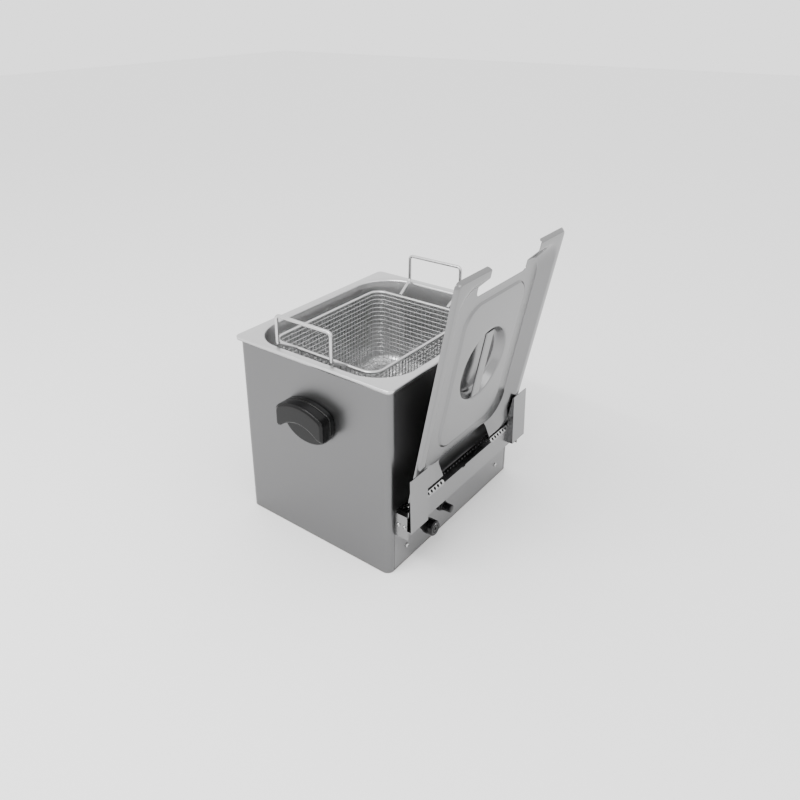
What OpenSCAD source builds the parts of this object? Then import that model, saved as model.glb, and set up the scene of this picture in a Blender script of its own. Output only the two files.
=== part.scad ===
// Countertop gas fryer: cabinet, drop-in tank, wire basket and a lid stored upright in a front holder.

/* [Cabinet] */
// How far the tank rim stands out past the cabinet, all round
rim_over = 4.5; // [3:0.5:7]
// Height of the bottom edge of the tank rim's lip
body_h = 273.5; // [255:0.5:330]
// Thickness of the cabinet sheet
sheet = 1.2; // [0.8:0.1:1.5]
// Outer radius of the cabinet's upright corners
corner_r = 10; // [6:1:14]
// Thickness of the base plate
base_t = 1.5; // [1:0.1:2.5]

/* [Front panel] */
// Width of the corner post left beside the front panel
post_w = 12; // [11:0.5:16]
// Height of the front panel's top edge
panel_top = 71.5; // [66:0.5:80]
// Gap around the front panel in its opening
panel_gap = 0.4; // [0.2:0.1:0.8]
// Distance of the panel screws in from the cabinet's side
panel_screw_in = 39.5; // [30:0.5:45]

/* [Tank] */
// Width of the tank rim
rim_w = 325; // [300:1:390]
// Depth of the tank rim, front to back
rim_d = 265; // [245:1:320]
// Height of the rim's turned-down lip
rim_lip = 4.8; // [4:0.1:8]
// Outer corner radius of the rim
rim_r = 8; // [5:1:20]
// Width of the flat rim
rim_flat = 12.5; // [10:0.5:18]
// Corner radius of the tank's mouth
mouth_r = 58; // [40:1:70]
// Depth of the tank below its rim
tank_depth = 150; // [100:1:160]
// Thickness of the tank sheet
tank_t = 1; // [0.8:0.1:1.5]
// Radius between the tank's walls and its floor
tank_floor_r = 22; // [12:1:30]

/* [Basket] */
// Gap between the basket's rim wire and the tank's mouth, left and right
basket_side_gap = 30; // [24:0.5:45]
// Gap between the basket's rim wire and the tank's mouth, at the front
basket_front_gap = 43.5; // [20:0.5:60]
// Gap between the basket's rim wire and the tank's mouth, at the back
basket_back_gap = 13.5; // [10:0.5:30]
// Height of the basket
basket_h = 125; // [80:1:126]
// Diameter of the basket's rim wire
basket_rim_wire = 4.6; // [3.5:0.1:6]
// Wall of the mesh envelope
mesh_t = 2; // [1.5:0.1:3]
// Outer corner radius of the basket
basket_r = 22; // [15:1:50]
// Height of the rim wire's centre below the tank rim's top
basket_drop = 14.5; // [12:0.5:22]
/* [Basket handles] */
// Diameter of the handle wire
handle_wire = 5; // [4:0.1:6]
// Length of the handle's grip, over its wires
handle_w = 98; // [80:1:120]
// Height of the grip above the tank rim
handle_rise = 46; // [35:1:60]
// Bend radius of the handle wire
handle_bend = 9; // [8:0.5:14]
// How far inside the tank's mouth the handle stands
handle_in = 3.2; // [1.8:0.1:6]

/* [Lid] */
// Thickness of the lid sheet
lid_t = 0.9; // [0.7:0.1:1.2]
// Outward lean of the stored lid
lid_lean = 10.3; // [8:0.1:12]
// Width of the lid's sloping lip
lid_lip_w = 3.5; // [2.5:0.1:5]
// Drop of the lid's sloping lip
lid_lip_h = 5.5; // [4:0.1:7]
// Width of the lid's flat edge
lid_flat = 10.5; // [8:0.5:12]
// Width of the slope from the flat edge down to the channel
lid_slope = 17; // [12:0.5:20]
// Depth of the channel below the flat edge
lid_depth = 12; // [8:0.5:16]
// Width of the channel between the slope and the raised panel, at the long sides
lid_channel = 26; // [18:0.5:32]
// Height of the raised panel above the channel
lid_panel_rise = 2.2; // [1:0.1:4]
// Radius of the round hand recess
recess_r = 51; // [40:0.5:54]
// Depth of the round hand recess
recess_depth = 13; // [8:0.5:18]
// Width of the grip bar across the recess
grip_w = 19; // [14:0.5:26]
// Thickness of the grip bar
grip_t = 3; // [2:0.5:5]
// Width of the two handle notches
notch_w = 122; // [110:1:130]
// Depth of the upper handle notch
notch_top = 45; // [36:0.5:50]
// Depth of the lower handle notch
notch_bottom = 34; // [28:0.5:45]
// How far the stored lid stands to the right of the middle
lid_shift = 1.5; // [-3:0.5:3]

/* [Lid holder] */
// How far the holder's front band stands off the cabinet
band_out = 21; // [20:0.5:26]
// Height of the bottom edge of the front band
band_z = 72; // [68:0.5:76]
// Height of the front band
band_h = 31; // [26:0.5:34]
// Height of the top edge of the trough's back wall
trough_back_top = 97.5; // [90:0.5:100]
// Distance of the trough's ends in from the cabinet's sides
trough_in = 12; // [10:0.5:18]
// Height of the lid's lowest edge above the floor
lid_rest_z = 98.1; // [97:0.1:104]
// Diameter of the holes in the vent strips
vent_d = 4.6; // [3:0.1:5.2]
// Pitch of the holes in the vent strips
vent_pitch = 7.5; // [6.5:0.1:14]
// Slant of the upper vent strip from level
vent_slant = 51; // [40:1:60]
// Width of the upper vent strip
vent_w = 6.2; // [5.6:0.1:6.6]
// Width of the two upright ears
ear_w = 37; // [28:0.5:44]
// Height of the bottom edge of the ears
ear_z = 77; // [74:0.5:82]
// Height of the ears
ear_h = 79; // [60:1:90]
// How far the ears' top stands off the front band
ear_step = 5.6; // [5.6:0.1:9]
// Extra stand-off at the ears' bottom
ear_tilt_out = 2.8; // [0:0.1:4]
// Distance of the ears in from the cabinet's sides
ear_in = 8; // [4:0.5:14]

/* [Side handles] */
// Width of the moulded handle
grip_len = 82; // [70:1:100]
// Height of the moulded handle's top above the floor
grip_top = 223; // [190:1:235]
// Height of the arched part
grip_h = 42; // [34:1:50]
// How far the handle stands off the side
grip_out = 26; // [22:0.5:34]
// Wall of the moulded arch
grip_wall = 8; // [6:0.5:10]
// Thickness of the moulded back plate
grip_back = 9; // [6:0.5:12]
// Distance between the handle's two screws
grip_screws = 50; // [40:1:60]

/* [Controls] */
// Distance of the control knob's axis left of the middle
knob_x = 85.5; // [70:0.5:100]
// Height of the controls' axes
control_z = 42; // [36:0.5:46]
// Diameter of the control knob
knob_d = 22; // [18:0.5:26]
// Length of the control knob
knob_l = 20; // [16:0.5:24]
// Gap between the control knob and the panel
knob_gap = 4; // [3.5:0.1:6]
// Travel of the control knob when it is pushed in
knob_push = 3; // [2:0.1:3.3]
// Diameter of the valve spindle
spindle_d = 8; // [6:0.1:10]
// Distance of the igniter's axis left of the middle
igniter_x = 36.5; // [30:0.5:60]
// Diameter of the igniter button
button_d = 12; // [8:0.1:14.5]
// How far the igniter button stands off its nut
button_out = 12.5; // [8:0.5:14]
// Travel of the igniter button
button_travel = 5; // [3:0.5:6]
// Diameter of the igniter's panel nut
nut_d = 18.5; // [17:0.5:22]
// Thickness of the igniter's panel nut
nut_t = 6; // [4:0.5:8]
// Radial running clearance of a moving pin in its hole
run_clear = 0.3; // [0.2:0.05:0.4]

/* [Burner] */
// Diameter of the burner tubes
burner_d = 24; // [20:1:30]
// Length of the burner tubes
burner_l = 170; // [140:1:190]
// Height of the burner tubes' centre line
burner_z = 84; // [76:1:90]
// Distance between the two burner tubes
burner_gap = 130; // [100:1:160]
// Outside diameter of the gas pipe
pipe_d = 8; // [6:0.5:10]
// Distance of the gas inlet right of the middle
inlet_x = 105; // [80:1:120]
// Height of the gas inlet
inlet_z = 34; // [28:1:50]
// Length of the gas inlet's thread behind the cabinet
inlet_l = 14; // [10:1:20]
// Outside diameter of the gas inlet's thread
inlet_d = 13.2; // [9.7:0.1:17]

/* [Hidden] */
$fn = 48;
eps = 0.01;
head_t = 1.6;
draft = 2;
mouth_roll = 4;
lid_corner_r = 7;
lid_panel_shift = (notch_top - notch_bottom) / 4;
ring_steps = 7;

body_w = rim_w - 2 * rim_over;
body_d = rim_d - 2 * rim_over;
front_y = -body_d / 2;
back_y = body_d / 2;
side_x = body_w / 2;
rim_top = body_h + rim_lip;
mouth_w = rim_w - 2 * rim_flat;
mouth_d = rim_d - 2 * rim_flat;
panel_w = body_w - 2 * post_w;
panel_screw_x = side_x - panel_screw_in;
panel_screw_d = 4;
basket_w = mouth_w - 2 * basket_side_gap;
basket_d = mouth_d - basket_front_gap - basket_back_gap;
basket_back = (basket_front_gap - basket_back_gap) / 2;
basket_z = rim_top - basket_drop;
basket_floor = basket_z - basket_h;
handle_x = mouth_w / 2 - handle_in + handle_wire / 2;
handle_low = rim_top + handle_wire / 2 + 0.6;
handle_top = rim_top + handle_rise;
lid_l = rim_w;
lid_w = rim_d;
lid_off = band_out - 7.2;
lid_z = lid_rest_z - lid_lip_h * sin(lid_lean);
lid_clear = 0.9;
trough_x = side_x - trough_in;
ear_edge = side_x - ear_in;
band_top = band_z + band_h;
ear_out = band_out + ear_step;
vent_end = ear_edge - ear_w - 1;
vent_len = vent_end - notch_w / 2 - 1;
vent_n = floor((vent_len - 3) / vent_pitch);
grip_z = grip_top - grip_h;
handle_screw_z = grip_top - grip_h / 2 - 8;
holder_screw_x = side_x - 41;
holder_screw_z = trough_back_top - 11.5;
holder_end_low = 60;
holder_end_high = 95.5;
holder_end_screws = [[6, 79], [15.5, 79]];
panel_screw_heights = [24.5, 58];
lid_edge = lid_lip_w + lid_flat + lid_slope;
lid_panel_z = lid_panel_rise - lid_depth;
burner_front = -burner_l / 2 + 4;
manifold_y = burner_front - 18;
manifold_z = burner_z - 22;
probe_x = -burner_gap / 2 + burner_d / 2 + 7;
spindle_back = 18;
button_back = 14;
valve_rear = front_y + sheet + 38;
igniter_rear = front_y + sheet + 42;

// ---------- shared shapes ----------

// Flat rectangle with round corners
module round_rect(w, d, r) {
  square([w - 2 * r, d], center = true);
  square([w, d - 2 * r], center = true);
  for (sx = [-1, 1], sy = [-1, 1])
    translate([sx * (w / 2 - r), sy * (d / 2 - r)]) circle(r);
}

// Round bar between two points
module bar(p, q, d) {
  v = q - p;
  l = norm(v);
  translate(p) rotate([0, acos(v[2] / l), atan2(v[1], v[0])]) cylinder(h = l, d = d);
}

// Round bar along a list of points, with a ball at each bend
module bar_path(points, d) {
  for (i = [0 : len(points) - 2]) bar(points[i], points[i + 1], d);
  for (i = [1 : len(points) - 2]) translate(points[i]) sphere(d = d * 1.12);
}

// Pan-head screw along +Z with its head's top at the origin's far side
module screw(d, l) {
  cylinder(h = head_t, d = d * 1.9);
  translate([0, 0, -l]) cylinder(h = l + eps, d = d);
}

// Points of a round-cornered rectangle, used as one ring of a pressed sheet
function ring(w, l, r, z) = [
  for (q = [0 : 3], i = [0 : ring_steps])
    let (a = 90 * (q + i / ring_steps),
         sx = (q == 0 || q == 3) ? 1 : -1,
         sy = (q < 2) ? 1 : -1)
    [sx * (w / 2 - r) + r * cos(a), sy * (l / 2 - r) + r * sin(a), z]];

// Closed solid through a list of rings, capped at its first and last ring
module ring_solid(rings) {
  n = len(rings[0]);
  m = len(rings);
  points = [for (r = rings) each r];
  sides = [for (j = [0 : m - 2], i = [0 : n - 1]) let (k = (i + 1) % n)
    [j * n + i, j * n + k, (j + 1) * n + k, (j + 1) * n + i]];
  polyhedron(points = points, faces = concat(
    [[for (i = [n - 1 : -1 : 0]) i]], sides, [[for (i = [0 : n - 1]) (m - 1) * n + i]]));
}

// ---------- cabinet ----------

module cabinet_shell() {
  color("silver") difference() {
    translate([0, 0, base_t]) linear_extrude(rim_top - tank_t - base_t) difference() {
      round_rect(body_w, body_d, corner_r);
      round_rect(body_w - 2 * sheet, body_d - 2 * sheet, corner_r - sheet);
    }
    // opening for the front panel
    translate([-panel_w / 2, front_y - 1, 0]) cube([panel_w, sheet + 2, panel_top + panel_gap]);
    // flue slots in the back
    for (i = [-4 : 4]) translate([i * 22 - 4, back_y - sheet - 1, body_h - 62]) cube([8, sheet + 2, 34]);
    // gas inlet
    translate([inlet_x, back_y + 1, inlet_z]) rotate([90, 0, 0]) cylinder(h = sheet + 2, d = inlet_d + 1);
    // handle screws
    for (s = [-1, 1], y = [-1, 1])
      translate([s * (side_x - sheet / 2), y * grip_screws / 2, handle_screw_z])
        rotate([0, 90, 0]) cylinder(h = sheet + 2, d = 5, center = true);
    // holder screws
    for (x = [-1, 1]) translate([x * holder_screw_x, front_y + sheet / 2, holder_screw_z])
      rotate([90, 0, 0]) cylinder(h = sheet + 2, d = 4.2, center = true);
  }
}

module base_plate() {
  vent_w0 = 7;
  color("gray") difference() {
    linear_extrude(base_t) round_rect(body_w, body_d, corner_r);
    for (i = [-5 : 5], s = [-1, 1])
      translate([i * 22 - vent_w0 / 2, s * 62 - 28, -1]) cube([vent_w0, 56, base_t + 2]);
  }
}

module front_panel() {
  w = panel_w - 2 * panel_gap;
  flange = 14;
  color("silver") difference() {
    union() {
      translate([-w / 2, front_y, base_t + panel_gap]) cube([w, sheet, panel_top - base_t - panel_gap]);
      translate([-w / 2, front_y, panel_top - sheet]) cube([w, flange, sheet]);
      for (s = [-1, 1]) translate([s * (w / 2 - sheet / 2) - sheet / 2, front_y, base_t + panel_gap])
        cube([sheet, flange, panel_top - base_t - panel_gap]);
    }
    translate([-knob_x, front_y - 1, control_z]) rotate([-90, 0, 0])
      cylinder(h = sheet + 2, d = spindle_d + 4);
    translate([-igniter_x, front_y - 1, control_z]) rotate([-90, 0, 0])
      cylinder(h = sheet + 2, d = (button_d + nut_d) / 2);
    for (s = [-1, 1], z = panel_screw_heights)
      translate([s * panel_screw_x, front_y - 1, z]) rotate([-90, 0, 0])
        cylinder(h = sheet + 2, d = panel_screw_d - 0.6);
  }
}

module panel_screws() {
  color("silver") for (s = [-1, 1], z = panel_screw_heights)
    translate([s * panel_screw_x, front_y, z]) rotate([90, 0, 0]) screw(panel_screw_d - 0.6, 7);
}

// ---------- tank ----------

// One ring of the pressed tank, set in from its mouth
function tank_ring(inset, z) = ring(mouth_w - 2 * inset, mouth_d - 2 * inset, max(mouth_r - inset, 8), z);

// Pressed tank: down the inside is the first ring, then out over the rim, round its lip and back under
module tank() {
  floor_z = rim_top - tank_depth;
  lip_r = rim_r - tank_t;
  inner = [for (a = [90 : -18 : 0]) tank_ring(draft + tank_floor_r * (1 - cos(a)),
    floor_z + tank_t + tank_floor_r * (1 - sin(a)))];
  outer = [for (a = [0 : 18 : 90]) tank_ring(draft - tank_t + (tank_floor_r + tank_t) * (1 - cos(a)),
    floor_z + (tank_floor_r + tank_t) * (1 - sin(a)))];
  roll_in = [for (a = [0 : 22.5 : 90]) tank_ring(-mouth_roll * (1 - cos(a)),
    rim_top - mouth_roll + mouth_roll * sin(a))];
  roll_out = [for (a = [90 : -22.5 : 0]) tank_ring(-tank_t - (mouth_roll - tank_t) * (1 - cos(a)),
    rim_top - mouth_roll + (mouth_roll - tank_t) * sin(a))];
  edge = [ring(rim_w - 2, rim_d - 2, rim_r - 1, rim_top), ring(rim_w, rim_d, rim_r, rim_top - 1),
    ring(rim_w, rim_d, rim_r, body_h), ring(rim_w - 2 * tank_t, rim_d - 2 * tank_t, lip_r, body_h),
    ring(rim_w - 2 * tank_t, rim_d - 2 * tank_t, lip_r, rim_top - tank_t)];
  color("gainsboro") ring_solid(concat(inner, roll_in, edge, roll_out, outer));
}

// Four welded angles that carry the tank's rim on the cabinet
module tank_brackets() {
  depth = 18;
  color("gray") for (s = [-1, 1], y = [-70, 70])
    translate([s * (side_x - sheet - sheet / 2) - sheet / 2, y - 15, rim_top - tank_t - depth])
      cube([sheet, 30, depth]);
}

// ---------- basket ----------

module basket_rim() {
  w = basket_w - basket_rim_wire;
  d = basket_d - basket_rim_wire;
  r = basket_r - basket_rim_wire / 2;
  color("silver") translate([0, basket_back, basket_z]) {
    for (s = [-1, 1]) {
      translate([-(w / 2 - r), s * d / 2, 0]) rotate([0, 90, 0]) cylinder(h = w - 2 * r, d = basket_rim_wire);
      translate([s * w / 2, -(d / 2 - r), 0]) rotate([-90, 0, 0])
        cylinder(h = d - 2 * r, d = basket_rim_wire);
    }
    for (c = [[1, 1, 0], [-1, 1, 90], [-1, -1, 180], [1, -1, 270]])
      translate([c[0] * (w / 2 - r), c[1] * (d / 2 - r), 0]) rotate([0, 0, c[2]])
        rotate_extrude(angle = 90) translate([r, 0]) circle(d = basket_rim_wire);
  }
}

// Envelope of the woven mesh: a thin open tub
module basket_mesh() {
  w = basket_w - basket_rim_wire + mesh_t;
  d = basket_d - basket_rim_wire + mesh_t;
  r = basket_r - basket_rim_wire / 2 + mesh_t / 2;
  top = basket_z - basket_rim_wire / 2 + 0.2;
  color("darkgray") translate([0, basket_back, basket_floor]) difference() {
    linear_extrude(top - basket_floor) round_rect(w, d, r);
    translate([0, 0, mesh_t]) linear_extrude(basket_h) round_rect(w - 2 * mesh_t, d - 2 * mesh_t, r - mesh_t);
  }
}

// Upright bows that carry the mesh, from the rim down and across the floor
module basket_frame() {
  wire = 3;
  w = basket_w - basket_rim_wire + mesh_t;
  top = basket_z - basket_rim_wire / 2 + 0.4;
  low = basket_floor - wire / 2 + 0.1;
  out = w / 2 + wire / 2 - 0.1;
  color("silver") for (y = [-35, 35]) bar_path([[-out, basket_back + y, top], [-out, basket_back + y, low],
    [out, basket_back + y, low], [out, basket_back + y, top]], wire);
}

// One fixed wire handle: a grip loop that stands on the tank rim, with legs run in to the basket rim
module basket_handle() {
  half = (handle_w - handle_wire) / 2;
  b = handle_bend;
  low_x = -handle_x;
  rim_x = -(basket_w / 2 - basket_rim_wire / 2);
  foot_z = basket_z + basket_rim_wire / 2 + handle_wire / 2 - 0.6;
  turn = handle_top - handle_wire / 2 - b;
  for (k = [-1, 1]) translate([0, basket_back + k * half, 0]) {
    translate([low_x, 0, handle_low]) cylinder(h = turn - handle_low, d = handle_wire);
    translate([low_x, 0, handle_low]) sphere(d = handle_wire * 1.06);
    bar([low_x, 0, handle_low], [rim_x + 2, -k * 4, foot_z], handle_wire);
    translate([low_x, -k * b, turn]) rotate([90, 0, 90]) rotate([0, 0, k > 0 ? 0 : 90])
      rotate_extrude(angle = 90) translate([b, 0]) circle(d = handle_wire);
  }
  translate([low_x, basket_back - (half - b), handle_top - handle_wire / 2]) rotate([-90, 0, 0])
    cylinder(h = 2 * (half - b), d = handle_wire);
}

module basket_handle_left() color("silver") basket_handle();
module basket_handle_right() color("silver") mirror([1, 0, 0]) basket_handle();

// ---------- lid ----------

// Puts a piece drawn flat, with its lower edge on X and its top side up, where the lid is stored
module stored_lid() {
  translate([lid_shift, front_y - lid_off, lid_z])
    rotate([90 + lid_lean, 0, 0]) children();
}

function lid_ring(inset, z) = ring(lid_w - 2 * inset, lid_l - 2 * inset, max(lid_corner_r - inset, 5) +
  (inset > lid_lip_w + lid_flat - 1 ? 26 : 0), z);
function panel_ring(inset, z) = [
  for (p = ring(lid_w - 2 * (lid_edge + lid_channel + inset),
    lid_l - 2 * (lid_edge + lid_channel + inset - lid_panel_shift), 24 - inset, z))
  [p[0], p[1] - lid_panel_shift, p[2]]];

function lid_top(t) = [
  lid_ring(t * 0.6, -lid_lip_h), lid_ring(lid_lip_w + t * 0.6, -t),
  lid_ring(lid_lip_w + lid_flat, -t), lid_ring(lid_lip_w + lid_flat + 4, -1.6 - t),
  lid_ring(lid_edge - 5, -lid_depth + 1.6 - t), lid_ring(lid_edge, -lid_depth - t),
  panel_ring(-2.5, -lid_depth - t), panel_ring(0, -lid_depth + 0.7 - t), panel_ring(2.5, lid_panel_z - t)];

module lid_blank() {
  top = lid_top(0);
  low = lid_top(lid_t);
  n = len(top);
  ring_solid(concat([for (i = [n - 1 : -1 : 0]) top[i]], low));
}

module lid() {
  color("silver") stored_lid() difference() {
    union() {
      difference() {
        translate([0, lid_l / 2, 0]) lid_blank();
        translate([0, lid_l / 2, lid_panel_z - lid_t - 1]) cylinder(h = lid_t + 2, r = recess_r);
      }
      translate([0, lid_l / 2, lid_panel_z]) rotate_extrude() recess_profile();
    }
    for (y = [notch_bottom / 2 - 5, lid_l - notch_top / 2 + 5])
      translate([0, y, -lid_depth]) cube([notch_w, (y < lid_l / 2 ? notch_bottom : notch_top) + 10, 60],
        center = true);
  }
}

// Half section of the round hand recess
module recess_profile() {
  polygon([[0, -recess_depth - lid_t], [0, -recess_depth], [recess_r - 14, -recess_depth],
    [recess_r - 7, -recess_depth + 2], [recess_r - 3, -recess_depth + 6.5], [recess_r - 1.2, -1.2],
    [recess_r + 0.6, 0], [recess_r + 0.6, -lid_t], [recess_r - 0.4, -1.8],
    [recess_r - 2.2, -recess_depth + 6], [recess_r - 6.4, -recess_depth + 1.2],
    [recess_r - 13.8, -recess_depth - lid_t]]);
}

module lid_grip_bar() {
  l = 2 * (recess_r - 1.5);
  color("silver") stored_lid() translate([0, lid_l / 2, lid_panel_z]) intersection() {
    translate([0, 0, -grip_t - 0.2]) cylinder(h = grip_t, r = recess_r - 1.4);
    translate([-grip_w / 2, -l / 2, -grip_t - 0.2]) cube([grip_w, l, grip_t]);
  }
}

// ---------- lid holder ----------

module vent_row(n, y_len) {
  for (i = [0 : n - 1]) translate([(i - (n - 1) / 2) * vent_pitch, 0, 0])
    rotate([90, 0, 0]) cylinder(h = y_len, d = vent_d, center = true);
}

// Folded trough: back wall on the cabinet, floor, and the front band
module holder_trough() {
  w = 2 * (trough_x - sheet);
  n = floor((w - 20) / vent_pitch);
  color("silver") difference() {
    union() {
      translate([-w / 2, front_y - sheet, band_z]) cube([w, sheet, trough_back_top - band_z]);
      translate([-w / 2, front_y - band_out, band_z]) cube([w, band_out, sheet]);
      translate([-w / 2, front_y - band_out, band_z]) cube([w, sheet, band_h]);
    }
    translate([0, front_y, trough_back_top - 5.5]) vent_row(n, 4 * sheet);
    for (x = [-1, 1]) translate([x * holder_screw_x, front_y, holder_screw_z]) rotate([90, 0, 0])
      cylinder(h = 4 * sheet, d = 3.4, center = true);
    translate([1 - side_x + 140, front_y - band_out - 1, band_top - 2]) cube([7, sheet + 2, 3]);
  }
}

// Slanted strips with a row of holes, fixed behind the band's top edge under the lid's two tabs
module holder_vent_strip() {
  color("silver") for (s = [-1, 1])
    translate([s * (vent_end - vent_len / 2), front_y - band_out + sheet, band_top]) {
      translate([-vent_len / 2, 0, -9]) cube([vent_len, sheet, 8.8]);
      translate([0, -sheet / 2, -1.6]) rotate([vent_slant, 0, 0]) difference() {
        linear_extrude(sheet) translate([0, vent_w / 2]) round_rect(vent_len, vent_w, vent_w / 2 - 0.4);
        for (i = [0 : vent_n - 1]) translate([(i - (vent_n - 1) / 2) * vent_pitch, vent_w / 2 + 0.3, -1])
          cylinder(h = sheet + 2, d = vent_d);
      }
    }
}

// End plate of the trough, with a folded lip along its top
module holder_end(s) {
  depth = band_out;
  low = holder_end_low;
  high = holder_end_high;
  color("silver") difference() {
    union() {
      translate([s * (trough_x - sheet / 2) - sheet / 2, front_y - depth, low])
        cube([sheet, depth - 0.8, high - low]);
      translate([s * (trough_x - 4) - 4, front_y - depth + sheet, high - sheet])
        cube([8, depth - 2 * sheet, sheet]);
      translate([s * (trough_x - 6) - 6, front_y - sheet, low]) cube([12, sheet, band_z - low - 0.4]);
    }
    for (p = holder_end_screws) translate([s * trough_x, front_y - p[0], p[1]]) rotate([0, 90, 0])
      cylinder(h = 4 * sheet, d = 3, center = true);
  }
}

module holder_end_left() holder_end(-1);
module holder_end_right() holder_end(1);

// Position of the stored lid's outer face at a given height
function lid_face(z) = front_y - lid_off - (z - lid_z) * tan(lid_lean);

// Upright ear: a plate that leans in to the lid, with a fold along its inner edge and a foot on the band
module holder_ear(s) {
  tilt = atan(ear_tilt_out / ear_h);
  x_in = s * (ear_edge - ear_w);
  foot = ear_out + ear_tilt_out - band_out;
  color("silver") {
    translate([0, front_y - ear_out - ear_tilt_out, ear_z]) rotate([-tilt, 0, 0])
      translate([s * (ear_edge - ear_w / 2) - ear_w / 2, 0, 0]) cube([ear_w, sheet, ear_h]);
    translate([x_in + (s < 0 ? -sheet : 0), 0, 0]) rotate([90, 0, 90]) linear_extrude(sheet)
      polygon([[front_y - ear_out - ear_tilt_out + 0.4, ear_z], [front_y - band_out - 0.2, ear_z],
        [front_y - band_out - 0.2, band_top + 1], [lid_face(band_top + 4) - lid_clear, band_top + 4],
        [lid_face(ear_z + ear_h - 2) - lid_clear + 0.9, ear_z + ear_h - 2],
        [front_y - ear_out + 0.4, ear_z + ear_h - 0.2]]);
    translate([s * (ear_edge - ear_w / 2) - ear_w / 2, front_y - band_out - foot, ear_z])
      cube([ear_w, foot, sheet]);
    translate([s * (ear_edge - ear_w / 2) - ear_w / 2, front_y - band_out - sheet, ear_z])
      cube([ear_w, sheet, 20]);
  }
}

module holder_ear_left() holder_ear(-1);
module holder_ear_right() holder_ear(1);

module holder_screws() {
  color("silver") {
    for (x = [-1, 1]) translate([x * holder_screw_x, front_y - sheet, holder_screw_z])
      rotate([90, 0, 0]) screw(3.4, 6);
    for (s = [-1, 1], p = holder_end_screws)
      translate([s * trough_x, front_y - p[0], p[1]]) rotate([0, s * 90, 0]) screw(3, 6);
  }
}

// ---------- side handles ----------

module grip_outline(w, top, low, r) {
  translate([0, (top + low) / 2]) square([w, top - low - 2 * r], center = true);
  translate([0, (top + low) / 2]) square([w - 2 * r, top - low], center = true);
  for (s = [-1, 1], z = [low + r, top - r]) translate([s * (w / 2 - r), z]) circle(r);
}

// Moulded handle: back plate with a round lower edge, arched top and a front lip over the finger hollow
module side_handle(s) {
  face_t = 7;
  color("dimgray") translate([s * side_x, 0, 0]) mirror([s < 0 ? 1 : 0, 0, 0]) difference() {
    union() {
      rotate([90, 0, 90]) linear_extrude(grip_back) {
        grip_outline(grip_len, grip_top, grip_z - 4, 15);
        translate([0, grip_z + 12]) intersection() {
          circle(r = grip_len / 2 - 4);
          translate([0, -30]) square([grip_len, 60], center = true);
        }
      }
      rotate([90, 0, 90]) linear_extrude(grip_out) difference() {
        grip_outline(grip_len, grip_top, grip_z, 8);
        finger_hollow();
      }
      translate([grip_out - face_t, 0, 0]) rotate([90, 0, 90]) linear_extrude(face_t) difference() {
        grip_outline(grip_len, grip_top, grip_z, 8);
        translate([0, grip_z - 12]) circle(r = 29);
      }
    }
    for (y = [-1, 1]) translate([-1, y * grip_screws / 2, handle_screw_z]) rotate([0, 90, 0])
      cylinder(h = grip_back, d = 4);
  }
}

// Finger hollow of the moulded handle, open downwards
module finger_hollow() {
  w = grip_len - 2 * grip_wall;
  translate([0, (grip_z + grip_top - grip_wall) / 2 - 6]) square([w, grip_h - grip_wall - 12], center = true);
  translate([0, grip_z - 5]) square([w, 40], center = true);
  translate([0, (grip_top - grip_wall + grip_z) / 2]) square([w - 24, grip_h - grip_wall], center = true);
  for (k = [-1, 1]) translate([k * (w / 2 - 12), grip_top - grip_wall - 12]) circle(12);
}

module side_handle_left() side_handle(-1);
module side_handle_right() side_handle(1);

module handle_screws() {
  color("silver") for (s = [-1, 1], y = [-1, 1])
    translate([s * (side_x - sheet - 1), y * grip_screws / 2, handle_screw_z]) rotate([0, -s * 90, 0])
      screw(4, 8);
}

module handle_washers() {
  color("silver") for (s = [-1, 1], y = [-1, 1])
    translate([s * (side_x - sheet - 0.5), y * grip_screws / 2, handle_screw_z]) rotate([0, 90, 0])
      difference() {
        cylinder(h = 1, d = 11, center = true);
        cylinder(h = 3, d = 4, center = true);
      }
}

// ---------- controls ----------

module control_knob() {
  color("black") translate([-knob_x, front_y - knob_gap, control_z]) rotate([90, 0, 0]) difference() {
    union() {
      cylinder(h = knob_l - 2, d = knob_d);
      translate([0, 0, knob_l - 2]) cylinder(h = 2, d1 = knob_d, d2 = knob_d - 3);
    }
    translate([0, 0, -1]) cylinder(h = 15.3, d = spindle_d - 2 + 2 * run_clear);
    translate([0, knob_d / 2 - 3.4, knob_l - 1]) cylinder(h = 2, d = 2.6);
  }
}

module knob_indicator() {
  color("white") translate([-knob_x, front_y - knob_gap, control_z]) rotate([90, 0, 0])
    translate([0, knob_d / 2 - 3.4, knob_l - 1]) cylinder(h = 0.8, d = 2.6);
}

module valve_spindle() {
  color("goldenrod") translate([-knob_x, front_y, control_z]) rotate([90, 0, 0]) {
    translate([0, 0, knob_gap - 1.2]) cylinder(h = 15, d = spindle_d - 2);
    translate([0, 0, -spindle_back]) cylinder(h = spindle_back + knob_gap - 1.2, d = spindle_d - 1);
  }
}

// Gas valve body behind the panel, with its bushing through the panel
module gas_valve() {
  body = 30;
  start = 4;
  color("goldenrod") translate([-knob_x, front_y + sheet, control_z]) difference() {
    union() {
      translate([-body / 2, start, -body / 2]) cube([body, 34, body]);
      translate([0, start + eps, 0]) rotate([90, 0, 0]) cylinder(h = start + eps, d = 22);
      translate([0, 34 + start - eps, 0]) rotate([-90, 0, 0]) cylinder(h = 8, d = 14);
      translate([body / 2 - eps, 22, 0]) rotate([0, 90, 0]) cylinder(h = 8, d = 14);
    }
    translate([0, -sheet, 0]) rotate([-90, 0, 0])
      cylinder(h = spindle_back + knob_push + 3, d = spindle_d - 1 + 2 * run_clear);
  }
}

module igniter_button() {
  color("black") translate([-igniter_x, front_y, control_z]) rotate([90, 0, 0]) {
    translate([0, 0, -button_back]) cylinder(h = button_back + nut_t + button_out - 0.8, d = button_d);
    translate([0, 0, nut_t + button_out - 0.8]) cylinder(h = 0.8, d1 = button_d, d2 = button_d - 1.6);
  }
}

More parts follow.
